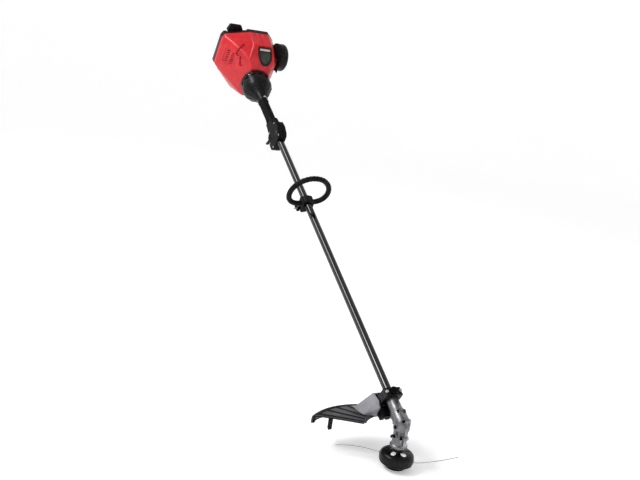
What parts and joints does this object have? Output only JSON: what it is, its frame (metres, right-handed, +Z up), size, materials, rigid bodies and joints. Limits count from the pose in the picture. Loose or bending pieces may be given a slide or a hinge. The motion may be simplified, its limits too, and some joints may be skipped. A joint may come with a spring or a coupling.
{
  "type": "brush cutter",
  "caption": "Petrol brush cutter with a straight boom, rear throttle grip, front D-handle, debris guard and a line-cutting head.",
  "frame": {"origin": "the middle of the rear grip, on the boom's axis", "axes": "+X forwards along the ground towards the line head, +Y to the operator's left, +Z up, with the line head level and the boom rising 32 degrees towards the engine"},
  "size_m": [1.6272, 0.3357, 1.1713],
  "materials": {
    "red_shell": "glossy moulded plastic",
    "black_plastic": "finely textured moulded plastic",
    "grip_rubber": "ribbed matt rubber",
    "grey_plastic": "satin moulded plastic",
    "boom_paint": "gloss black powder coat",
    "cast_aluminium": "bare die casting",
    "steel": "machined",
    "dark_steel": "blackened",
    "filter_foam": "open-cell foam",
    "tank_plastic": "translucent blow-moulded plastic",
    "ceramic": "glazed ceramic",
    "nylon_line": "extruded nylon"
  },
  "bodies": {
    "frame": {"gearbox_half_left": "cast_aluminium", "gearbox_half_right": "cast_aluminium", "pinion_bearing": "steel", "spindle_bearing_upper": "steel", "spindle_bearing_lower": "steel", "guard": "grey_plastic", "guard_clamp": "grey_plastic", "line_cutter_blade": "dark_steel", "boom_tube": "boom_paint", "shaft_bush_lower": "black_plastic", "shaft_bush_upper": "black_plastic", "throttle_housing_left": "black_plastic", "throttle_housing_right": "black_plastic", "rear_grip": "grip_rubber", "clutch_housing": "black_plastic", "crankcase": "cast_aluminium", "cylinder": "cast_aluminium", "spark_plug": "ceramic", "plug_boot": "grip_rubber", "ignition_module": "black_plastic", "muffler": "dark_steel", "carburetor": "cast_aluminium", "air_filter_base": "black_plastic", "air_filter_element": "filter_foam", "air_filter_cover": "black_plastic", "fuel_tank": "tank_plastic", "engine_shroud": "red_shell", "starter_housing": "black_plastic"},
    "drive": {"drive_shaft": "dark_steel", "clutch_drum": "steel", "pinion_gear": "steel"},
    "head": {"spindle": "dark_steel", "output_gear": "steel", "head_housing": "black_plastic", "head_lid": "black_plastic", "line_eyelet_a": "steel", "line_eyelet_b": "steel", "line_a": "nylon_line", "line_b": "nylon_line"},
    "spool": {"line_spool": "grey_plastic"},
    "bump": {"bump_knob": "black_plastic", "bump_spring": "steel"},
    "crank": {"crankshaft": "steel", "flywheel": "cast_aluminium", "clutch_rotor": "dark_steel"},
    "piston": {"piston": "cast_aluminium", "connecting_rod": "steel", "piston_pin": "steel"},
    "front_handle": {"d_handle": "grip_rubber", "clamp_spacer": "black_plastic", "clamp_bolt": "steel"},
    "handle_nut": {"wing_nut": "black_plastic"},
    "trigger": {"throttle_trigger": "black_plastic"},
    "lockout": {"lockout_lever": "black_plastic"},
    "switch": {"stop_switch": "black_plastic"},
    "choke": {"choke_lever": "black_plastic"},
    "primer": {"primer_bulb": "grip_rubber"},
    "tank_cap": {"fuel_cap": "black_plastic"},
    "pull_handle": {"starter_handle": "black_plastic"},
    "recoil_pulley": {"starter_pulley": "grey_plastic"}
  },
  "joints": [
    {"name": "drive_spin", "type": "hinge", "parent": "frame", "child": "drive", "pos_m": [0, 0, 0], "axis": [-0.848, 0, 0.5299], "continuous": true},
    {"name": "head_spin", "type": "hinge", "parent": "frame", "child": "head", "pos_m": [1.16352, 0, -0.829], "axis": [0, 0, 1], "continuous": true},
    {"name": "spool_turn", "type": "hinge", "parent": "head", "child": "spool", "pos_m": [1.16352, 0, -0.829], "axis": [0, 0, 1], "continuous": true},
    {"name": "bump_press", "type": "slide", "parent": "head", "child": "bump", "axis": [0, 0, 1], "range_m": [0, 0.008], "stiffness_N_per_m": 600, "springref_m": -0.004, "deforming": ["bump_spring"]},
    {"name": "crank_spin", "type": "hinge", "parent": "frame", "child": "crank", "pos_m": [0, 0, 0], "axis": [-0.848, 0, 0.5299], "continuous": true},
    {"name": "piston_stroke", "type": "slide", "parent": "frame", "child": "piston", "axis": [0.5299, 0, 0.848], "range_m": [-0.026, 0]},
    {"name": "front_handle_slide", "type": "slide", "parent": "frame", "child": "front_handle", "axis": [-0.848, 0, 0.5299], "range_m": [-0.15, 0.15]},
    {"name": "handle_nut_turn", "type": "hinge", "parent": "front_handle", "child": "handle_nut", "pos_m": [0.40589, 0.00434, -0.28266], "axis": [0.092, 0.9848, 0.1473], "continuous": true},
    {"name": "throttle_pull", "type": "hinge", "parent": "frame", "child": "trigger", "pos_m": [0.1147, 0, -0.10705], "axis": [0, 1, 0], "range_deg": [0, 14], "stiffness_Nm_per_rad": 0.4, "springref_deg": -17.19},
    {"name": "lockout_press", "type": "hinge", "parent": "frame", "child": "lockout", "pos_m": [0.14978, 0, -0.05468], "axis": [0, 1, 0], "range_deg": [-8, 0], "stiffness_Nm_per_rad": 0.3, "springref_deg": 11.46},
    {"name": "stop_switch_rock", "type": "hinge", "parent": "frame", "child": "switch", "pos_m": [0.14406, -0.015, -0.05818], "axis": [0.5299, 0, 0.848], "range_deg": [-4, 4]},
    {"name": "choke_turn", "type": "hinge", "parent": "frame", "child": "choke", "pos_m": [-0.17513, 0.0873, 0.16131], "axis": [0, 1, 0], "range_deg": [0, 35]},
    {"name": "primer_press", "type": "slide", "parent": "frame", "child": "primer", "axis": [0, -1, 0], "range_m": [0, 0.004], "stiffness_N_per_m": 500, "springref_m": -0.002},
    {"name": "tank_cap_turn", "type": "hinge", "parent": "frame", "child": "tank_cap", "pos_m": [-0.27656, 0.066, 0.10088], "axis": [0, 1, 0], "continuous": true},
    {"name": "starter_pull", "type": "slide", "parent": "frame", "child": "pull_handle", "axis": [0.5299, 0, 0.848], "range_m": [0, 0.4], "stiffness_N_per_m": 25, "springref_m": -0.12},
    {"name": "recoil_spin", "type": "hinge", "parent": "frame", "child": "recoil_pulley", "pos_m": [0, 0, 0], "axis": [-0.848, 0, 0.5299], "range_deg": [0, 720]}
  ],
  "couplings": [
    {"joint": "head_spin", "follows": "drive_spin", "ratio": 0.73684},
    {"joint": "recoil_spin", "follows": "starter_pull", "rad_per_m": 31.25}
  ]
}
